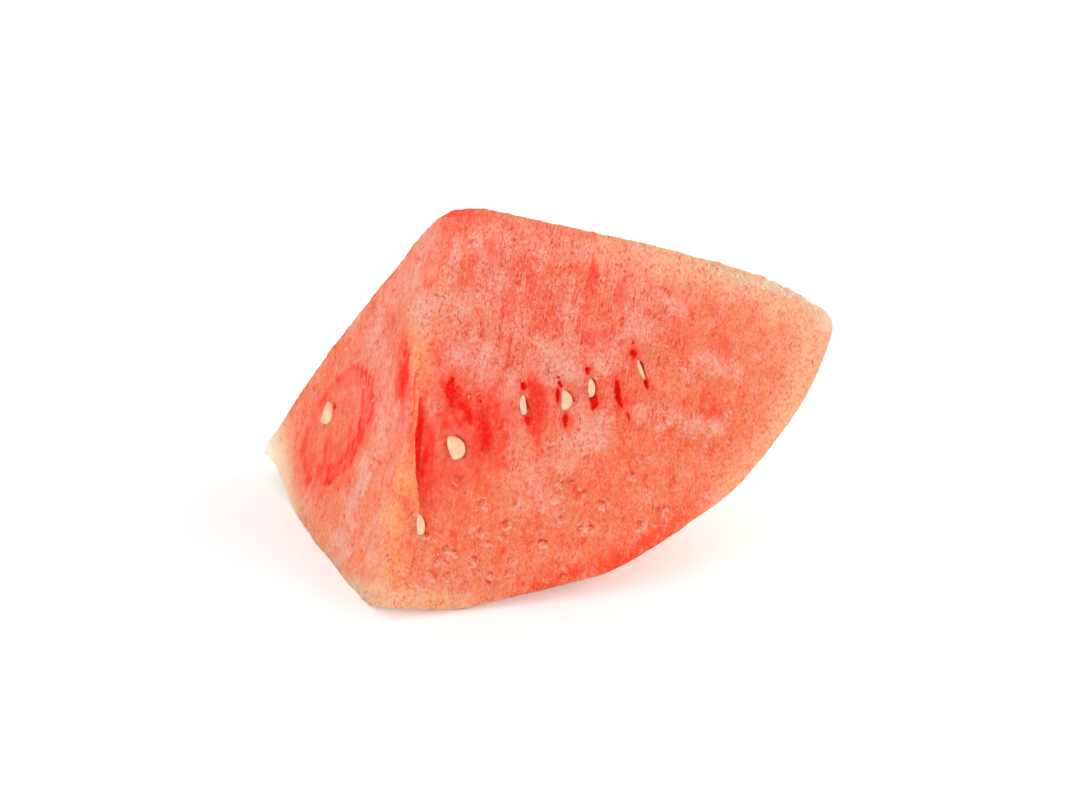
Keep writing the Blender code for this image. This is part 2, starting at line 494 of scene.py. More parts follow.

# A seed's pocket fits it closely and is open along one flank, and the pocket is painted dark as
# painted shade in that gap.
for face, down, across, lean, length, width, thickness, roll, sunk, bend in SEEDS:
    seen = width * math.cos(math.radians(roll)) + thickness * math.sin(math.radians(roll))
    aside = 0.25 + 0.1 * seen
    inside = press(face, down, across + aside, lean, 0.5 * length, 0.5 * seen, sunk + 0.8, 0.5)
    np.maximum(deep, 0.8 * inside, out=deep)
    np.maximum(painted_shade, 0.6 * inside, out=painted_shade)
    np.maximum(smooth, inside, out=smooth)

for face, down, across, lean, half_length, half_width, depth in SLITS:
    inside = press(face, down, across, lean, half_length, half_width, 0.75 * depth, 0.8)
    along, aside = local_marks(face, down, across, lean)
    np.maximum(deep, np.clip(inside * 2.4, 0.0, 1.0), out=deep)
    # The slit's wall towards the top is painted dark as painted shade.
    shaded = smooth_step(-aside / half_width - 0.5 * along / half_length + 0.5 * tatters, -0.3, 0.9)
    np.maximum(painted_shade, inside * 0.62 * shaded, out=painted_shade)
    out_from_slit = (along / (1.6 * half_length)) ** 2 + (aside / (2.4 * half_width)) ** 2
    halo = np.exp(-out_from_slit + 0.6 * ripple - 0.3)
    np.maximum(deep, 0.8 * halo * (share_of[face] > 0.3), out=deep)

# The groove is deepest under the lip and rises gently away from the seam.
seam_share = (front_down - SEAM_DOWN[0]) / (SEAM_DOWN[1] - SEAM_DOWN[0])
over_seam = front_across - seam_across(front_down)
over_seam += grains(SEAM_WAVES)
seam_run = stretch(seam_share, -0.04, 0.16, 0.86, 1.02) * beside_ridge
groove = stretch(over_seam, -0.05, 0.45, 0.4, GROOVE_WIDTH)
sink = np.maximum(sink, seam_run * groove * GROOVE_DEPTH * MM)
opened = 0.25 + 0.75 * smooth_step(seam_share, 0.0, 0.40)
reddened = smooth_step(over_seam, -0.1, 0.3) * (1.0 - smooth_step(over_seam / opened, 3.0, 11.0))
reddened *= stretch(seam_share, -0.03, 0.05, 0.75, 1.05) * beside_ridge
deep = np.maximum(deep, reddened * (0.84 + 0.15 * ripple + 0.32 * streaks))
# A thin line along the seam, under the lip, is painted dark as the lip's painted shadow.
lip_shadow_line = bell(over_seam, 0.22, 0.16) * smooth_step(seam_share, 0.35, 0.8)
painted_shade = np.maximum(painted_shade, 0.22 * seam_run * lip_shadow_line)
in_groove = smooth_step(over_seam, -2.5, -1.0) * (over_seam < GROOVE_WIDTH)
smooth = np.maximum(smooth, seam_run * in_groove)

# Two drawn fibres lie in the lip: a dark one, and a pale one beside it.
fibre_run = stretch(seam_share, -0.30, -0.10, 0.30, 0.60) * beside_ridge
deep = np.maximum(deep, 0.75 * fibre_run * bell(over_seam + 0.15 * ripple, -1.1, 0.24))
pale = np.maximum(pale, 0.80 * fibre_run * bell(over_seam + 0.25 * ripple, -1.9, 0.40))

# Grain and threads: rough where the knife tore the cells, smooth in pockets and on the peel.
lift = grains(GRAIN) + THREAD_GRAIN[0] * threads(*THREAD_GRAIN[1:]) * (1.0 - of_peel)
lift *= (1.0 - smooth) * (1.0 - 0.6 * of_peel) * MM
lift -= sink

# Torn pits: small uneven dents, each with a steep side uphill that is painted dark as painted shade,
# and a pale lifted lip below. Most lie low on the front, and the ones in the listed places are the
# largest.
rng = random.Random(11)
tree = nearest_of(points)
tears = []
while len(tears) < TORN_PITS:
    number = rng.randrange(even_verts)
    place = points[number]
    low_front = of_front[number] * smooth_step(front_down[number], *TEARS_CROWD)
    busy = 0.35 + 0.65 * low_front
    busy *= 1.0 - 0.8 * of_peel[number]
    if smooth[number] > 0.1 or place[2] < 0.5 * MM or rng.random() > busy:
        continue
    reach = rng.uniform(0.6, 1.0 + 0.2 * low_front) ** 2 * TEAR_REACH
    tears.append((number, reach, rng.uniform(0.35, 1.0) * TEAR_DEPTH, rng.uniform(-1.2, 1.2)))
for place in torn_places:
    swing = rng.uniform(-1.2, 1.2)
    tears.append((tree.find(place)[1], LISTED_TEAR_REACH, LISTED_TEAR_DEPTH, swing))
for number, reach, depth, swing in tears:
    normal = Vector(normals[number])
    uphill = (Vector((swing, 0.0, 1.0)) - normal * normal.z).normalized()
    sideways = normal.cross(uphill)
    for place, index, _ in tree.find_range(points[number], reach * 1.7):
        away = place - Vector(points[number])
        offset = away.dot(uphill) / reach
        spread = away.dot(sideways) / (reach * 1.5)
        share = math.sqrt(offset * offset + spread * spread) + 0.7 * ripple[index]
        bite = max(0.0, 1.0 - share * share) * (0.7 + 0.7 * offset)
        lip_below = math.exp(-((share - 0.95) / 0.28) ** 2) * max(0.0, -offset)
        lip_above = math.exp(-((share - 0.70) / 0.22) ** 2) * max(0.0, offset)
        lift[index] += depth * (0.7 * lip_below - bite)
        deep[index] = max(deep[index], min(0.6, 1.1 * lip_above))
        painted_shade[index] = max(painted_shade[index], min(0.55, 0.8 * lip_above))
        pale[index] = max(pale[index], min(0.94, 1.1 * lip_below))

# The lip stands out a little and hangs over the groove.
lip = seam_run * smooth_step(over_seam, -3.2, -0.4) * (1.0 - smooth_step(over_seam, -0.1, 0.25))
lip_lift = np.array(front.across) * LIP_REACH + np.array(FRONT) * LIP_HEIGHT

# Small nubs stand along the top edge towards the tip.
TOP_EDGE_START = -4.0
TOP_EDGE_SLOPE = 0.13
under_top_edge = front_down - TOP_EDGE_SLOPE * front_across - TOP_EDGE_START
nubs = smooth_step(front_across, 60.0, 90.0) * bell(under_top_edge, 0.0, 2.5) * grains(NUBS)

moved = points + normals * lift[:, None]
moved += np.outer(lip * MM, lip_lift)
moved += np.outer(nubs * MM, np.array((FRONT + BACK).normalized()))
moved[:, 2] = np.where(points[:, 2] < FLAT_LEVEL, points[:, 2], moved[:, 2])
moved = np.clip(moved, np.array(low), np.array(high))
for vert, place in zip(flesh_mesh.verts, moved):
    vert.co = place

# ---------------------------------------------------------------------------------------------
# The flesh's colours.
# Ripe flesh is coral red, deeper in the seam of the seeds, frosted where torn cells hold air,
# and it fades through peach to cream where the rind was. The marks below steer the material.

# Patches: face, marks down and across, lean, half length, half width, strength.
DEEP_PATCHES = (
    (front, 53.0, 13.5, 20.0, 12.0, 10.5, 0.9),
    (front, 62.0, 12.0, 12.0, 13.0, 9.0, 0.6),
    (front, 58.5, 20.0, 12.0, 9.0, 3.4, 0.8),
    (front, 47.8, 28.8, 8.0, 10.5, 4.4, 0.85),
    (front, 57.0, 30.0, 10.0, 5.0, 2.6, 0.35),
    (front, 41.5, 75.0, 34.0, 4.4, 2.6, 0.5),
    (front, 39.4, 72.0, -10.0, 3.0, 1.8, 0.5),
    (front, 26.0, 75.0, 30.0, 4.5, 3.0, 0.5),
    (front, 29.0, 41.5, 30.0, 4.2, 5.0, 0.6),
    (front, 14.0, 38.5, 0.0, 4.6, 1.7, 0.65),
    (front, 17.5, 46.0, 0.0, 4.0, 2.0, 0.55),
    (front, 18.5, 23.0, 0.0, 6.0, 2.0, 0.45),
    (front, 22.5, 18.0, 0.0, 6.0, 2.4, 0.45),
    (front, 25.0, 31.0, 0.0, 7.0, 2.0, 0.4),
    (front, 12.0, 12.0, 0.0, 6.0, 2.0, 0.45),
    (front, 38.0, 20.0, 0.0, 3.0, 2.0, 0.5),
    (front, 22.0, 62.0, 20.0, 5.0, 3.0, 0.35),
    (front, 62.0, 47.0, 0.0, 3.0, 2.6, 0.35),
    (front, 74.0, 12.0, 10.0, 7.0, 5.0, 0.35),
    (front, 2.5, 3.5, 84.0, 6.0, 2.4, 0.55),
    (end, 43.5, 8.0, -12.0, 9.5, 5.4, 1.0),
    (end, 36.5, 11.0, -38.0, 4.0, 2.2, 0.35),
    (end, 31.0, 22.5, -72.0, 4.2, 3.0, 0.6),
    (end, 57.0, 5.0, -4.0, 12.0, 4.4, 0.55),
    (end, 45.5, 33.0, -80.0, 5.0, 2.4, 0.4),
    (end, 67.0, 48.5, -14.0, 7.0, 4.6, 0.8),
    (end, 49.0, 54.0, 10.0, 6.0, 5.0, 0.4),
    (back, 55.0, 18.0, 20.0, 14.0, 8.0, 0.6),
    (back, 36.0, 46.0, 48.0, 14.0, 7.0, 0.55),
    (back, 8.0, 60.0, 80.0, 14.0, 6.0, 0.55),
)
PALE_PATCHES = (
    (front, 40.0, 13.5, 0.0, 7.5, 8.0, 0.7),
    (front, 32.5, 29.5, 0.0, 4.5, 5.0, 0.6),
    (front, 9.0, 8.5, 0.0, 3.6, 4.2, 0.5),
    (front, 32.0, 8.0, 0.0, 9.0, 5.0, 0.5),
    (front, 38.5, 33.5, 10.0, 4.2, 8.0, 0.95),
    (front, 42.0, 22.0, 0.0, 4.0, 4.0, 0.6),
    (front, 31.0, 74.0, 20.0, 6.0, 7.0, 0.6),
    (front, 25.0, 1.5, 0.0, 8.0, 2.4, 0.6),
    (front, 34.0, 46.0, 20.0, 5.0, 5.0, 0.6),
    (front, 52.0, 43.5, 20.0, 8.5, 7.0, 0.7),
    (front, 54.5, 37.0, 30.0, 6.0, 2.0, 0.8),
    (front, 46.0, 60.0, 78.0, 8.0, 3.6, 0.55),
    (front, 47.0, 73.0, 80.0, 9.0, 2.8, 0.6),
    (front, 62.0, 34.0, 0.0, 7.0, 8.0, 0.5),
    (front, 72.0, 34.0, 0.0, 9.0, 10.0, 0.35),
    (front, 15.0, 3.0, 2.0, 9.0, 1.5, 0.8),
    (front, 18.0, 11.0, 0.0, 9.0, 3.6, 0.4),
    (front, 20.0, 34.0, 0.0, 8.0, 4.0, 0.5),
    (front, 25.0, 52.0, 40.0, 7.0, 5.0, 0.55),
    (front, 18.0, 61.0, 60.0, 5.0, 2.2, 0.8),
    (front, 8.0, 26.0, 84.0, 14.0, 3.6, 0.4),
    (front, 28.0, -2.0, 4.0, 7.0, 2.4, 0.75),
    (end, 88.0, 10.5, -10.0, 12.0, 8.0, 0.45),
    (end, 58.0, 18.0, -20.0, 9.0, 4.6, 0.7),
    (end, 70.0, 25.0, -40.0, 9.0, 4.6, 0.72),
    (end, 80.0, 28.0, -30.0, 8.0, 6.0, 0.62),
    (end, 78.0, 56.0, 30.0, 8.0, 8.0, 0.7),
    (end, 35.0, 30.0, 0.0, 7.0, 7.0, 0.5),
    (end, 24.0, 10.0, 0.0, 10.0, 5.0, 0.5),
    (end, 90.0, 30.0, 0.0, 7.0, 9.0, 0.6),
    (back, 70.0, 30.0, 20.0, 16.0, 12.0, 0.6),
    (back, 30.0, 24.0, 40.0, 12.0, 9.0, 0.5),
    (back, 4.0, 80.0, 80.0, 14.0, 9.0, 0.5),
)
# Most orange patches lie along the ridge, where the lighter orange is partly the flesh's own colour
# and partly a painted highlight on the rounded ridge.
ORANGE_PATCHES = (
    (front, 69.0, -1.4, 4.0, 7.0, 2.0, 0.85),
    (front, 81.5, -2.0, 6.0, 6.0, 2.8, 0.85),
    (front, 38.0, -2.5, 4.0, 12.0, 3.2, 0.6),
    (front, 24.0, 0.5, 0.0, 9.0, 2.6, 0.4),
    (front, 92.0, -1.0, 0.0, 8.0, 4.0, 0.6),
    (front, 98.5, 4.3, 0.0, 1.8, 1.6, 1.0),
    (front, 94.0, 2.0, 0.0, 2.2, 1.6, 0.7),
    (front, 101.0, 12.0, 90.0, 6.0, 2.0, 0.7),
)
THREAD_PATCHES = (
    (front, 22.0, 26.0, 0.0, 24.0, 27.0, 1.0),
    (front, 24.0, 50.0, 10.0, 20.0, 14.0, 0.7),
    (front, 52.0, 30.0, 14.0, 12.0, 34.0, 0.5),
    (back, 45.0, 30.0, 40.0, 34.0, 22.0, 0.7),
    (back, 5.0, 50.0, 80.0, 26.0, 18.0, 0.7),
    (end, 34.0, 20.0, -10.0, 16.0, 14.0, 0.5),
)


def patches(rows, wander):
    """How strongly the rows' patches mark each vertex, with their outlines made to wander."""
    marks = np.zeros(len(points))
    for face, down, across, lean, half_length, half_width, strength in rows:
        along, aside = local_marks(face, down, across, lean)
        oval = np.sqrt((along / half_length) ** 2 + (aside / half_width) ** 2) + wander
        reached = of_back if face is back else of_front + of_end
        marks = np.maximum(marks, strength * smooth_step(-oval, -1.25, -0.45) * (reached > 0.3))
    return marks


wander = grains(OUTLINE_WAVES)
reddest = patches(DEEP_PATCHES, wander + 0.35 * streaks)
deep = np.maximum(deep, reddest * np.clip(0.85 + 0.4 * ripple + 0.5 * streaks, 0.0, 1.0))
pale = np.maximum(pale, 0.85 * patches(PALE_PATCHES, wander))
orange = patches(ORANGE_PATCHES, 0.6 * wander)
# The lip's crest above the seam is painted orange, partly the flesh's own colour and partly a
# painted highlight on the crest.
above_seam = bell(over_seam, -0.9, 0.9) * stretch(seam_share, -0.25, 0.15, 0.85, 1.15)
above_seam *= beside_ridge * (0.7 + 0.4 * streaks)
orange = np.maximum(orange, above_seam)
thready = patches(THREAD_PATCHES, wander)

# Oval bands lie round the end's seed, where a lobe of the melon was cut across. The oval has a
# middle and a lean, and a half length and half width. The bands' places are shares of it.
RING = (59.5, 44.0, 60.0)
RING_HALVES = (21.0, 13.0)
ring_along, ring_aside = local_marks(end, *RING)
ring_along /= RING_HALVES[0]
ring_aside /= RING_HALVES[1]
ring = np.sqrt(ring_along ** 2 + ring_aside ** 2) + 0.16 * wander
ring_turn = np.arctan2(ring_aside, -ring_along)
strong_side = 0.78 + 0.22 * smooth_step(np.cos(ring_turn + 0.7), -0.5, 0.5)
ring_width = 0.20 + 0.16 * smooth_step(-ring_aside / ring, -0.4, 0.5)
ring_band = 0.70 * bell(ring, 0.95, ring_width) * strong_side
ring_band += (0.34 * bell(ring, 1.02, 0.07) + 0.26 * bell(ring, 0.76, 0.05)) * strong_side
ring_band += 0.26 * bell(ring, 0.45, 0.09)
ring_band += 0.30 * bell(ring, 1.28, 0.06) * (1.0 - 0.6 * strong_side)
ring_band *= 0.85 + 0.35 * ripple + 0.30 * streaks + 0.35 * grain(points, 3.0 * MM, 37.0)
ring_band += 0.16 * (1.0 - smooth_step(ring, 0.8, 1.1))
ring_band = np.clip(ring_band, 0.0, 1.0) * (of_end > 0.4)
deep = np.maximum(deep, ring_band)
pale *= 1.0 - 0.9 * ring_band

# Near the peel the flesh is peach, and at the side corner it turns to pale rind; along the top edge
# and the right rim the peach is partly painted rim light.
near_peel = smooth_step(from_heart + 2.5 * wander, 90.0, 104.0)
near_tip = smooth_step(front_across + 4.0 * wander + 0.4 * (12.0 - front_down), 66.0, 104.0)
top_edge = 1.0 - smooth_step(under_top_edge + 6.0 * wander, 2.0, 12.0)
top_edge *= smooth_step(front_across, 16.0, 60.0) * (of_front > 0.2)
at_foot = smooth_step(front_down + 2.0 * wander, 95.5, 101.5)
at_foot *= 1.0 - smooth_step(front_across, 14.0, 26.0)
at_side = smooth_step(from_heart + 2.0 * wander, 93.0, 106.0) * smooth_step(end_across, 62.0, 78.0)
right_rim = smooth_step(from_heart + 1.2 * wander, 96.5, 102.5)
right_rim *= smooth_step(front_across, 66.0, 84.0)
peach = 0.35 * near_peel + 0.75 * near_tip + top_edge + 0.95 * at_foot + 0.8 * at_side
peach = np.clip(peach + 0.5 * right_rim + 0.35 * of_peel, 0.0, 1.0)
rind = smooth_step(from_heart + 1.5 * wander, 98.5, 111.5) * (end_across > 60.0)
warm = smooth_step(from_heart + 6.0 * wander, 52.0, 82.0)

# A film of pale rind follows the top edge to the tip.
TIP_FILM = (front, 14.5, 101.5, 0.0, 3.4, 3.6, 0.8)
FILM_BELOW_EDGE = 1.6
FILM_TURN = 92.0
FILM_DROP = 0.12
FILM_CURVE = 1.6


def film_down(across):
    """How far down the front the film of rind lies, at a mark across: the edge turns at the tip."""
    drop = FILM_DROP * np.maximum(across - FILM_TURN, 0.0) ** FILM_CURVE
    return TOP_EDGE_START + TOP_EDGE_SLOPE * across + FILM_BELOW_EDGE + drop


tip_film = patches((TIP_FILM,), wander)
edge_film = bell(front_down, film_down(front_across), 1.4) * smooth_step(front_across, 66.0, 86.0)
edge_film *= np.clip(0.45 + 1.1 * grain(points, 1.5 * MM, 81.0), 0.0, 1.0)
rind = np.maximum(rind, np.maximum(0.45 * tip_film, 0.6 * edge_film))

# Low on the front the flesh is painted a darker, vivid red above the floor as painted shade, and at
# the apex the same red is a painted glow of light through the thin tip.
floor_shade_band = smooth_step(from_heart + 2.0 * wander, 92.0, 101.0) * (of_front > 0.2)
floor_shade_band *= stretch(front_across, 24.0, 42.0, 66.0, 80.0)
floor_shade_band *= np.clip(0.78 + 0.35 * ripple + 0.8 * wander, 0.0, 1.0)
shade_and_glow = np.maximum(floor_shade_band, 0.45 * (1.0 - smooth_step(from_heart + 2.0 * wander, 4.0, 13.0)))
peach *= 1.0 - 0.95 * shade_and_glow
pale *= 1.0 - 0.6 * shade_and_glow


def node(tree, kind, **settings):
    """A shader node with these settings; a setting with a socket's name sets that input."""
    made = tree.nodes.new(kind)
    for name, value in settings.items():
        if hasattr(made, name):
            setattr(made, name, value)
        else:
            made.inputs[name.replace("_", " ")].default_value = value
    return made


def set_or_link(tree, socket, value):
    """Gives a socket a number or a colour, or the output of another node."""
    if isinstance(value, bpy.types.NodeSocket):
        tree.links.new(value, socket)
    else:
        socket.default_value = value


def mix_colours(tree, share, first, second):
    """The colour between two, by a share that is a socket or a number."""
    made = node(tree, "ShaderNodeMix", data_type="RGBA")
    set_or_link(tree, made.inputs[0], share)
    set_or_link(tree, made.inputs[6], first)
    set_or_link(tree, made.inputs[7], second)
    return made.outputs[2]


def layered(tree, colour, layers):
    """A colour with others laid over it in turn, each with its share."""
    for share, over in layers:
        colour = mix_colours(tree, share, colour, over)
    return colour


def calculate(tree, operation, first, second=0.0, third=0.0, clamp=False):
    """A sum on sockets or numbers, by the name of the Math node's operation."""
    made = node(tree, "ShaderNodeMath", operation=operation, use_clamp=clamp)
    for number, value in enumerate((first, second, third)):
        set_or_link(tree, made.inputs[number], value)
    return made.outputs[0]


def times(tree, first, second, clamp=False):
    return calculate(tree, "MULTIPLY", first, second, clamp=clamp)


def times_plus(tree, first, second, third):
    return calculate(tree, "MULTIPLY_ADD", first, second, third)


def ramp(tree, value, start, stop):
    """0 where the value is below start, 1 where it is above stop, with a soft rise between."""
    made = node(tree, "ShaderNodeMapRange", interpolation_type="SMOOTHSTEP")
    tree.links.new(value, made.inputs[0])
    made.inputs[1].default_value = start
    made.inputs[2].default_value = stop
    return made.outputs[0]


def laid_along(tree, sizes, turned=(0.0, 0.0, 0.0)):
    """The object's own coordinates from the heart, turned, in units of these sizes in metres."""
    coordinates = node(tree, "ShaderNodeTexCoord")
    mapping = node(tree, "ShaderNodeMapping", vector_type="TEXTURE")
    mapping.inputs["Location"].default_value = HEART
    mapping.inputs["Rotation"].default_value = turned
    mapping.inputs["Scale"].default_value = sizes
    tree.links.new(coordinates.outputs["Object"], mapping.inputs["Vector"])
    return mapping.outputs["Vector"]


def noise_on(tree, sizes, turned=(0.0, 0.0, 0.0), detail=2.0, roughness=0.5):
    """Noise with lumps of these sizes, or of one size, turned."""
    made = node(tree, "ShaderNodeTexNoise", Scale=1.0, Detail=detail)
    made.inputs["Roughness"].default_value = roughness
    sizes = sizes if isinstance(sizes, tuple) else (sizes,) * 3
    tree.links.new(laid_along(tree, sizes, turned), made.inputs["Vector"])
    return made.outputs["Fac"]


def in_three(tree, colour):
    """A colour taken apart into its three numbers."""
    parts = node(tree, "ShaderNodeSeparateColor")
    tree.links.new(colour, parts.inputs["Color"])
    return parts.outputs


def mark(tree, name):
    """The marks that a mesh carries under this name, as three numbers."""
    attribute = node(tree, "ShaderNodeAttribute", attribute_name=name)
    return in_three(tree, attribute.outputs["Color"])


DOWN_THE_RIDGE = tuple(TO_FOOT.to_track_quat("Z", "Y").to_euler())
CELL_SIZE = 0.52 * MM


def juice_cells():
    """A node group: a shade for each juice cell, the furrows between cells, and their height."""
    group = bpy.data.node_groups.new("juice_cells", "ShaderNodeTree")
    for name in ("Shade", "Furrow", "Height"):
        group.interface.new_socket(name, in_out="OUTPUT", socket_type="NodeSocketFloat")
    out = node(group, "NodeGroupOutput")
    place = laid_along(group, (CELL_SIZE, CELL_SIZE, 1.25 * CELL_SIZE), DOWN_THE_RIDGE)
    cell = node(group, "ShaderNodeTexVoronoi", Scale=1.0)
    group.links.new(place, cell.inputs["Vector"])
    group.links.new(in_three(group, cell.outputs["Color"])[0], out.inputs["Shade"])
    group.links.new(ramp(group, cell.outputs["Distance"], 0.35, 0.75), out.inputs["Furrow"])
    fine = times(group, noise_on(group, 0.45 * MM, roughness=0.6), 0.9)
    height = calculate(group, "SUBTRACT", fine, cell.outputs["Distance"])
    group.links.new(height, out.inputs["Height"])
    return group


cells_group = juice_cells()

# The flesh's colours, and those of the marks that are laid over it: the maroon and the pit red are
# painted shade, and the vivid red is painted shade above the floor and a painted glow at the apex.
CORAL = (0.935, 0.205, 0.105, 1.0)
SALMON = (0.935, 0.36, 0.235, 1.0)
WARM_CORAL = (0.945, 0.25, 0.098, 1.0)
DEEP_RED = (0.93, 0.011, 0.002, 1.0)
STREAK_RED = (0.93, 0.070, 0.022, 1.0)
SHADE_AND_GLOW_RED = (0.97, 0.072, 0.016, 1.0)
ORANGE_RED = (0.985, 0.45, 0.16, 1.0)
FROST = (0.94, 0.51, 0.40, 1.0)
SPECK = (0.95, 0.64, 0.54, 1.0)
PIT_SHADE_RED = (0.72, 0.045, 0.022, 1.0)
PEACH = (0.965, 0.56, 0.335, 1.0)
CREAM = (0.985, 0.83, 0.57, 1.0)
SHADE_MAROON = (0.50, 0.008, 0.006, 1.0)
FLESH_GLOW = (1.0, 0.15, 0.09)
FLESH_GLOW_DEPTH = 6.0 * MM
FLESH_SHINE = 0.07
FLESH_BUMP = 0.26 * MM


def new_finish(name):
    """A new material, with its node tree and its shader."""
    material = bpy.data.materials.new(name)
    material.use_nodes = True
    return material, material.node_tree, material.node_tree.nodes["Principled BSDF"]


def raise_surface(tree, shader, height, strength, distance):
    """Gives a shader a bump from this height."""
    bump = node(tree, "ShaderNodeBump", Strength=strength, Distance=distance)
    tree.links.new(height, bump.inputs["Height"])
    tree.links.new(bump.outputs["Normal"], shader.inputs["Normal"])


def let_light_in(tree, shader, share, glow, depth):
    """Lets a share of the light sink in: the depth, and each colour's part of that depth."""
    set_or_link(tree, shader.inputs["Subsurface Weight"], share)
    shader.inputs["Subsurface Radius"].default_value = glow
    shader.inputs["Subsurface Scale"].default_value = depth


def wet_flesh_finish():
    """Wet, granular red flesh that light sinks into."""
    material, tree, shader = new_finish("wet_flesh")
    deep_mark, painted_shade_mark, pale_mark = mark(tree, "flesh_marks")
    orange_mark, rind_mark, peach_mark = mark(tree, "flesh_edges")
    thready_mark, shade_and_glow_mark, warm_mark = mark(tree, "flesh_zones")
    cell = node(tree, "ShaderNodeGroup", node_tree=cells_group)

    clouds = noise_on(tree, (12 * MM, 12 * MM, 16 * MM), detail=3.0)
    blotches = noise_on(tree, (3.2 * MM, 3.2 * MM, 4.6 * MM), detail=3.0, roughness=0.6)
    drawn = noise_on(tree, (1.5 * MM, 1.5 * MM, 10 * MM), DOWN_THE_RIDGE, 3.0, 0.65)
    fine = noise_on(tree, (0.7 * MM, 0.7 * MM, 1.1 * MM), DOWN_THE_RIDGE, 3.0, 0.65)
    bloom = noise_on(tree, (4.0 * MM, 4.0 * MM, 6.5 * MM), (0.2, 0.5, 0.0), 4.0, 0.62)
    dots = noise_on(tree, (0.40 * MM, 0.40 * MM, 1.0 * MM), DOWN_THE_RIDGE, 1.0)
    flecks = noise_on(tree, 0.42 * MM, (0.4, 0.9, 0.2), 2.0, 0.7)
    strands = noise_on(tree, (0.6 * MM, 0.6 * MM, 13 * MM), DOWN_THE_RIDGE, 2.0, 0.6)

    # Threads run down from the heart, red and pale.
    red_blotches = times(tree, ramp(tree, blotches, 0.48, 0.70), 0.65)
    red_share = times_plus(tree, thready_mark, 0.50, 0.20)
    red_threads = times(tree, ramp(tree, drawn, 0.47, 0.68), red_share)
    pale_share = times_plus(tree, thready_mark, 0.55, 0.15)
    pale_threads = times(tree, ramp(tree, strands, 0.53, 0.70), pale_share)

    # Air in torn cells frosts the flesh in soft clouds, most where the marks call for it.
    torn = times_plus(tree, pale_mark, 0.30, times(tree, bloom, 0.75))
    torn = times_plus(tree, fine, 0.48, torn)
    frost = times(tree, ramp(tree, torn, 0.60, 0.90), 0.85)
    deepest = times(tree, deep_mark, times_plus(tree, fine, -0.5, 1.25), clamp=True)

    # Each cell has its own tone, and the furrow round it is painted darker as painted shade.
    open_flesh = calculate(tree, "SUBTRACT", 1.0, calculate(tree, "MAXIMUM", deepest, rind_mark))
    lighter = times(tree, ramp(tree, cell.outputs["Shade"], 0.66, 1.0), open_flesh)
    darker = times(tree, ramp(tree, cell.outputs["Shade"], 0.40, 0.0), open_flesh)
    furrow_shade = times(tree, cell.outputs["Furrow"], open_flesh)

    # Dark dashes, the painted shade of tiny pits, crowd in the threads, and pale flecks of torn wall
    # lie in the frosted flesh.
    crowd = times_plus(tree, ramp(tree, drawn, 0.42, 0.62), 0.6, 0.15)
    crowd = times_plus(tree, thready_mark, 0.5, crowd)
    pits = times(tree, ramp(tree, dots, 0.54, 0.68), crowd)
    pits = times(tree, pits, times_plus(tree, open_flesh, 0.6, 0.4), clamp=True)
    white = ramp(tree, times_plus(tree, pale_mark, 0.17, flecks), 0.67, 0.80)
    white = times(tree, white, open_flesh)

    colour = mix_colours(tree, ramp(tree, clouds, 0.34, 0.60), CORAL, SALMON)
    colour = layered(tree, colour, (
        (times(tree, warm_mark, 0.7), WARM_CORAL),
        (red_blotches, STREAK_RED),
        (red_threads, STREAK_RED),
        (times(tree, peach_mark, 0.9), PEACH),
        (times(tree, orange_mark, 0.85), ORANGE_RED),
        (shade_and_glow_mark, SHADE_AND_GLOW_RED),
        (pale_threads, FROST),
        (frost, FROST),
        (deepest, DEEP_RED),
        (times(tree, lighter, 0.24), FROST),
        (times(tree, darker, 0.42), STREAK_RED),
        (times(tree, furrow_shade, 0.18), STREAK_RED),
        (times(tree, pits, 0.78), PIT_SHADE_RED),
        (times(tree, white, 0.6), SPECK),
        (times(tree, ramp(tree, pale_mark, 0.84, 1.0), 0.7), SPECK),
        (painted_shade_mark, SHADE_MAROON),
        (rind_mark, CREAM),
    ))
    tree.links.new(colour, shader.inputs["Base Color"])

    wetness = node(tree, "ShaderNodeMapRange", To_Min=0.34, To_Max=0.58)
    tree.links.new(fine, wetness.inputs[0])
    tree.links.new(wetness.outputs[0], shader.inputs["Roughness"])
    shader.inputs["Specular IOR Level"].default_value = FLESH_SHINE

    height = calculate(tree, "SUBTRACT", cell.outputs["Height"], times(tree, pits, 0.8))
    height = calculate(tree, "ADD", height, times(tree, white, 0.8))
    height = times(tree, height, times_plus(tree, deepest, -0.6, 1.0))
    raise_surface(tree, shader, height, 0.8, FLESH_BUMP)

    # Less light sinks in where the flesh turns to firm rind.
    light_in = times_plus(tree, ramp(tree, rind_mark, 0.15, 0.60), -0.70, 0.75)
    let_light_in(tree, shader, light_in, FLESH_GLOW, FLESH_GLOW_DEPTH)
    return material


def mark_mesh(data, name, columns):
    """Stores three marks for each vertex as a colour."""
    layer = data.color_attributes.new(name, "FLOAT_COLOR", "POINT")
    values = np.ones((len(columns[0]), 4), np.float32)
    for number, column in enumerate(columns):
        values[:, number] = np.clip(column, 0.0, 1.0)
    layer.data.foreach_set("color", values.ravel())


def finished_piece(mesh, name, material):
    """Turns a bmesh into a piece of the wedge that keeps its place in its mesh."""
    data = bpy.data.meshes.new(name)
    mesh.to_mesh(data)
    mesh.free()
    data.materials.append(material)
    data.shade_smooth()
    piece = bpy.data.objects.new(name, data)
    bpy.context.scene.collection.objects.link(piece)
    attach(piece, "root")
    return piece


outer_surface = BVHTree.FromBMesh(flesh_mesh)
wedge = finished_piece(flesh_mesh, "wedge_flesh", wet_flesh_finish())
mark_mesh(wedge.data, "flesh_marks", (deep, painted_shade, pale))
mark_mesh(wedge.data, "flesh_edges", (orange, rind, peach))
mark_mesh(wedge.data, "flesh_zones", (thready, shade_and_glow, warm))
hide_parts("flesh")

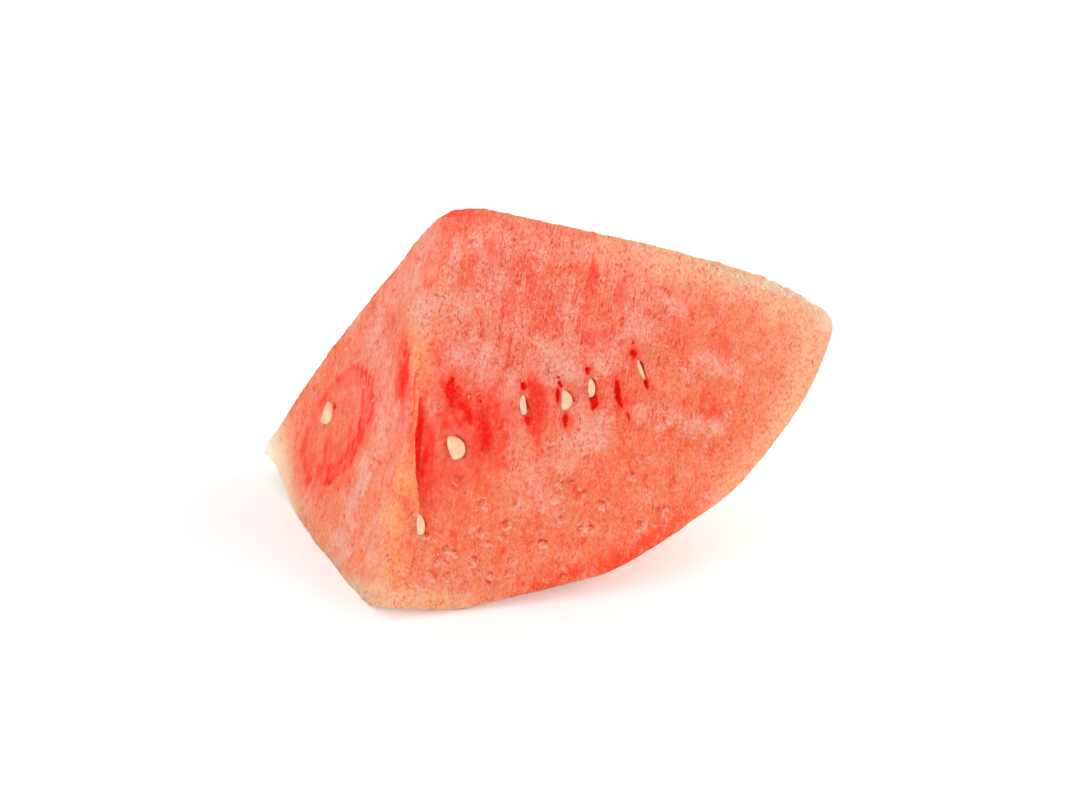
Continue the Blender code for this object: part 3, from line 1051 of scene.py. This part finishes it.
# ---------------------------------------------------------------------------------------------
# The scrap of rind.
# At the side corner the knife missed a little of the firm white rind. It is a thin closed cap over
# the corner's flesh, with a feathered edge, cream at the edge and faintly green outside.
RIND_FROM_HEART = 108.3 * MM
RIND_STANDS_OUT = 0.38 * MM
RIND_FEATHER = 1.4 * MM
RIND_THICKNESS = 0.5 * MM
RIND_CREAM = (1.0, 0.87, 0.63, 1.0)
RIND_GREEN = (1.0, 0.87, 0.58, 1.0)
RIND_GLOW = (1.0, 0.6, 0.35)
SKIN_BUMP = 0.05 * MM


def clouded(tree, size, detail, start, stop, first, second):
    """Two colours in soft clouds of this size."""
    clouds = noise_on(tree, size, detail=detail)
    return mix_colours(tree, ramp(tree, clouds, start, stop), first, second)


def smooth_finish(name, colour_of, bump, roughness, shine, light_in, glow, depth):
    """A smooth, firm skin over small cells, in the colours that a function gives it."""
    material, tree, shader = new_finish(name)
    cell = node(tree, "ShaderNodeGroup", node_tree=cells_group)
    tree.links.new(colour_of(tree), shader.inputs["Base Color"])
    raise_surface(tree, shader, cell.outputs["Height"], bump, SKIN_BUMP)
    shader.inputs["Roughness"].default_value = roughness
    shader.inputs["Specular IOR Level"].default_value = shine
    let_light_in(tree, shader, light_in, glow, depth)
    return material


def rind_colour(tree):
    return clouded(tree, 2.4 * MM, 3.0, 0.45, 0.75, RIND_CREAM, RIND_GREEN)


rind_mesh = bmesh.new()
rind_mesh.from_mesh(wedge.data)
bmesh.ops.bisect_plane(
    rind_mesh,
    geom=rind_mesh.verts[:] + rind_mesh.edges[:] + rind_mesh.faces[:],
    dist=0.001 * MM,
    plane_co=HEART + TO_SIDE * RIND_FROM_HEART,
    plane_no=TO_SIDE,
    clear_inner=True,
)
rind_mesh.normal_update()
for vert in rind_mesh.verts:
    over = (vert.co - HEART).dot(TO_SIDE) - RIND_FROM_HEART
    vert.co += vert.normal * (RIND_STANDS_OUT * min(1.0, over / RIND_FEATHER))
bmesh.ops.solidify(rind_mesh, geom=rind_mesh.faces[:], thickness=RIND_THICKNESS)
bmesh.ops.recalc_face_normals(rind_mesh, faces=rind_mesh.faces)
pale_rind = smooth_finish(
    "pale_rind", rind_colour, bump=0.4, roughness=0.42, shine=0.25,
    light_in=0.12, glow=RIND_GLOW, depth=1.5 * MM,
)
finished_piece(rind_mesh, "rind_scrap", pale_rind)

# ---------------------------------------------------------------------------------------------
# The torn shreds.
# Where the knife dragged, short bent shreds of cell wall stand a little off the flesh, pale with
# the air in them. They lie in the loose clusters that are listed with the hollows.
SHRED_PARTS = (6, 7)
SHRED_LENGTHS = (0.7 * MM, 2.1 * MM)
SHRED_WIDTHS = (0.17 * MM, 0.38 * MM)
SHRED_BEND = 2.6
SHRED_CLEAR = 0.02 * MM
SHRED_LOWEST = 1.0 * MM
SHRED_PALE = (0.95, 0.53, 0.41, 1.0)
SHRED_CORAL = (0.96, 0.30, 0.19, 1.0)

# A drop's outline is an ellipse at 2, and blunter above. Its point narrows by this share.
BLUNTNESS = 2.8
POINTED = 0.5


def add_drop(mesh, placed, middle, length, width, thickness, bend, parts):
    """A flat drop, bent edgeways, with its narrow end at the start: a seed or a shred."""
    made = bmesh.ops.create_uvsphere(mesh, u_segments=parts[0], v_segments=parts[1], radius=1.0)
    for vert in made["verts"]:
        run = vert.co.z
        along = min(abs(run), 0.999)
        blunt = (1.0 - along ** BLUNTNESS) ** (1.0 / BLUNTNESS) / math.sqrt(1.0 - along ** 2)
        narrow = blunt * (1.0 - POINTED * max(0.0, -run) ** 1.6)
        curve = bend * (0.5 - run * run) * 0.5 * width
        shape = Vector((
            vert.co.x * narrow * 0.5 * width + curve,
            vert.co.y * narrow * 0.5 * thickness,
            run * 0.5 * length,
        ))
        vert.co = middle + placed @ shape


def add_shred(mesh, face, down, across, rng):
    """One short bent shred, with one end pressed into the flesh."""
    hit, normal = look_down(outer_surface, face, down, across)
    if hit is None or hit.z < SHRED_LOWEST:
        return
    turn = rng.uniform(0.0, math.pi)
    flat = (face.down * math.cos(turn) + face.across * math.sin(turn)).normalized()
    along = (flat - normal * flat.dot(normal) + normal * rng.uniform(0.0, 0.35)).normalized()
    aside = normal.cross(along).normalized()
    placed = Matrix((aside, along.cross(aside), along)).transposed()
    length = rng.uniform(*SHRED_LENGTHS)
    width = rng.uniform(*SHRED_WIDTHS)
    bend = rng.uniform(-SHRED_BEND, SHRED_BEND)
    middle = hit + normal * SHRED_CLEAR
    add_drop(mesh, placed, middle, length, width, 0.5 * width, bend, SHRED_PARTS)


def shred_finish(name, colour_of):
    return smooth_finish(
        name, colour_of, bump=0.5, roughness=0.32, shine=0.35,
        light_in=0.4, glow=FLESH_GLOW, depth=1.0 * MM,
    )


def shred_colour(tree):
    return clouded(tree, 1.4 * MM, 2.0, 0.42, 0.62, SHRED_CORAL, SHRED_PALE)


def shred_piece(name, clusters, material):
    """All the shreds of these clusters, as one piece."""
    mesh = bmesh.new()
    rng = random.Random(5)
    for face, down, across, spread, count in clusters:
        for _ in range(count):
            far = spread * math.sqrt(rng.random())
            turn = rng.uniform(0.0, 2.0 * math.pi)
            add_shred(mesh, face, down + far * math.cos(turn), across + far * math.sin(turn), rng)
    bmesh.ops.recalc_face_normals(mesh, faces=mesh.faces)
    finished_piece(mesh, name, material)


torn_wall = shred_finish("torn_cell_wall", shred_colour)
shred_piece("torn_shreds", SHRED_CLUSTERS, torn_wall)

# A crinkled film of the white rind is left along the top edge to the tip.
FILM_RUN = range(68, 104, 2)
FILM_SPREAD = 1.2
FILM_COUNT = 9
FILM_CLUSTERS = [
    (front, film_down(across) + 0.4, across, FILM_SPREAD, FILM_COUNT) for across in FILM_RUN
]
FILM_PINK = (0.95, 0.60, 0.42, 1.0)
FILM_CREAM = (0.98, 0.80, 0.60, 1.0)


def film_colour(tree):
    return clouded(tree, 1.4 * MM, 2.0, 0.42, 0.62, FILM_PINK, FILM_CREAM)


shred_piece("edge_film", FILM_CLUSTERS, shred_finish("film_of_rind", film_colour))

# ---------------------------------------------------------------------------------------------
# The seeds.
# Unripe seeds are soft, flat drops in cream, 5 to 7 mm long, with a blunt point at the end that
# was joined to the flesh. Each sits in its own smooth pocket, some of them on edge.
SEED_PARTS = (20, 14)
SEED_CREAM = (0.90, 0.66, 0.43, 1.0)
SEED_BLUSH = (0.90, 0.50, 0.34, 1.0)
SEED_YELLOW = (0.90, 0.56, 0.24, 1.0)
SEED_RIM_SHADE = (0.78, 0.34, 0.14, 1.0)
SEED_GLOW = (1.0, 0.7, 0.4)


def add_seed(mesh, face, down, across, lean, length, width, thickness, roll, sunk, bend):
    """One flat drop, laid in its pocket with its point uphill."""
    turn = math.radians(lean)
    along = (face.down * math.cos(turn) + face.across * math.sin(turn)).normalized()
    aside = face.looks.cross(along).normalized()
    rolled = Matrix.Rotation(math.radians(roll), 3, "Z")
    placed = Matrix((aside, face.looks, along)).transposed() @ rolled
    middle = on_surface(face, down, across) - face.looks * (sunk * MM)
    add_drop(mesh, placed, middle, length * MM, width * MM, thickness * MM, bend, SEED_PARTS)


def seed_colour(tree):
    """Cream with a blush, yellow in spots, and painted darker towards the rim, where the seed turns
    away, as painted shade.
    """
    colour = clouded(tree, 2.2 * MM, 3.0, 0.40, 0.60, SEED_BLUSH, SEED_CREAM)
    mottle = noise_on(tree, 0.9 * MM, (0.3, 0.7, 0.1), 3.0)
    yellowed = times(tree, ramp(tree, mottle, 0.46, 0.66), 0.6)
    rim = node(tree, "ShaderNodeLayerWeight", Blend=0.5)
    rim_shade = ramp(tree, rim.outputs["Facing"], 0.45, 1.0)
    return layered(tree, colour, ((yellowed, SEED_YELLOW), (rim_shade, SEED_RIM_SHADE)))


seed_mesh = bmesh.new()
for seed in SEEDS:
    add_seed(seed_mesh, *seed)
bmesh.ops.recalc_face_normals(seed_mesh, faces=seed_mesh.faces)
cream_seed = smooth_finish(
    "cream_seed", seed_colour, bump=0.3, roughness=0.3, shine=0.35,
    light_in=0.4, glow=SEED_GLOW, depth=0.8 * MM,
)
finished_piece(seed_mesh, "unripe_seeds", cream_seed)

# ---------------------------------------------------------------------------------------------
# The table, the light and the camera.
# The wedge lies on a plain white table in a light tent: soft light from all sides, and large soft
# lamps on the right, low on the left to keep the end as bright as the front, and behind.
TABLE_SIZE = 6.0
TABLE_BELOW = 0.1 * MM
TABLE_WHITE = (0.93, 0.93, 0.93, 1.0)
WHITE = (1.0, 1.0, 1.0, 1.0)
TABLE_GLOSS = 0.15
TABLE_ROUGHNESS = 0.28
TABLE_LIFT = 0.27
TENT_LIGHT = 0.66
LAMP_SIZE = 0.8
LAMPS = (
    ("right_lamp", Vector((1.15, -0.62, 0.55)), 5.8),
    ("left_lamp", Vector((-1.15, -0.75, 0.42)), 7.4),
    ("back_lamp", Vector((1.00, 0.50, 0.62)), 5.0),
)

table_mesh = bmesh.new()
bmesh.ops.create_grid(table_mesh, x_segments=1, y_segments=1, size=TABLE_SIZE / 2.0)
bmesh.ops.translate(table_mesh, verts=table_mesh.verts, vec=(0.0, 0.0, -TABLE_BELOW))
table_data = bpy.data.meshes.new("table")
table_mesh.to_mesh(table_data)
table_mesh.free()
table = bpy.data.objects.new("table", table_data)
bpy.context.scene.collection.objects.link(table)


def seen_directly(tree):
    """1 where a camera, a mirror or glass looks on, 0 where the light only falls on other things."""
    path = node(tree, "ShaderNodeLightPath")
    seen = calculate(tree, "MAXIMUM", path.outputs["Is Camera Ray"], path.outputs["Is Glossy Ray"])
    return calculate(tree, "MAXIMUM", seen, path.outputs["Is Transmission Ray"])


table_material = bpy.data.materials.new("white_table")
table_material.use_nodes = True
tree = table_material.node_tree
tree.nodes.clear()
matt = node(tree, "ShaderNodeBsdfDiffuse", Color=TABLE_WHITE)
gloss = node(tree, "ShaderNodeBsdfGlossy", Roughness=TABLE_ROUGHNESS)
top = node(tree, "ShaderNodeMixShader", Fac=TABLE_GLOSS)
shine = node(tree, "ShaderNodeEmission", Color=WHITE)
total = node(tree, "ShaderNodeAddShader")
out = node(tree, "ShaderNodeOutputMaterial")
tree.links.new(times(tree, seen_directly(tree), TABLE_LIFT), shine.inputs["Strength"])
tree.links.new(matt.outputs[0], top.inputs[1])
tree.links.new(gloss.outputs[0], top.inputs[2])
tree.links.new(top.outputs[0], total.inputs[0])
tree.links.new(shine.outputs[0], total.inputs[1])
tree.links.new(total.outputs[0], out.inputs["Surface"])
table_data.materials.append(table_material)

world = bpy.data.worlds.new("light_tent")
world.use_nodes = True
bpy.context.scene.world = world
tree = world.node_tree
sky = tree.nodes["Background"]
strength = node(tree, "ShaderNodeMapRange", To_Min=TENT_LIGHT, To_Max=1.0)
tree.links.new(seen_directly(tree), strength.inputs[0])
tree.links.new(strength.outputs[0], sky.inputs["Strength"])
sky.inputs["Color"].default_value = WHITE

for lamp_name, lamp_place, lamp_power in LAMPS:
    lamp_data = bpy.data.lights.new(lamp_name, "AREA")
    lamp_data.shape = "DISK"
    lamp_data.size = LAMP_SIZE
    lamp_data.energy = lamp_power
    lamp = bpy.data.objects.new(lamp_name, lamp_data)
    lamp.location = lamp_place
    lamp.rotation_euler = (-lamp_place).to_track_quat("-Z", "Y").to_euler()
    bpy.context.scene.collection.objects.link(lamp)

CAMERA_DISTANCE = 1.0
CAMERA_RISE = math.radians(25.0)
CAMERA_LENS = 129.9
CAMERA_SENSOR = 36.0
CAMERA_NEAREST = 0.01
AIM_BELOW_MIDDLE = Vector((-0.7 * MM, 0.0, -5.2 * MM))
aim = (low + high) / 2.0 + AIM_BELOW_MIDDLE
back_off = Vector((0.0, -math.cos(CAMERA_RISE), math.sin(CAMERA_RISE)))
camera_data = bpy.data.cameras.new("camera")
camera_data.lens = CAMERA_LENS
camera_data.sensor_width = CAMERA_SENSOR
camera_data.clip_start = CAMERA_NEAREST
camera = bpy.data.objects.new("camera", camera_data)
camera.location = aim + back_off * CAMERA_DISTANCE
camera.rotation_euler = (-back_off).to_track_quat("-Z", "Y").to_euler()
bpy.context.scene.collection.objects.link(camera)
bpy.context.scene.camera = camera
bpy.context.scene.view_settings.view_transform = "Standard"
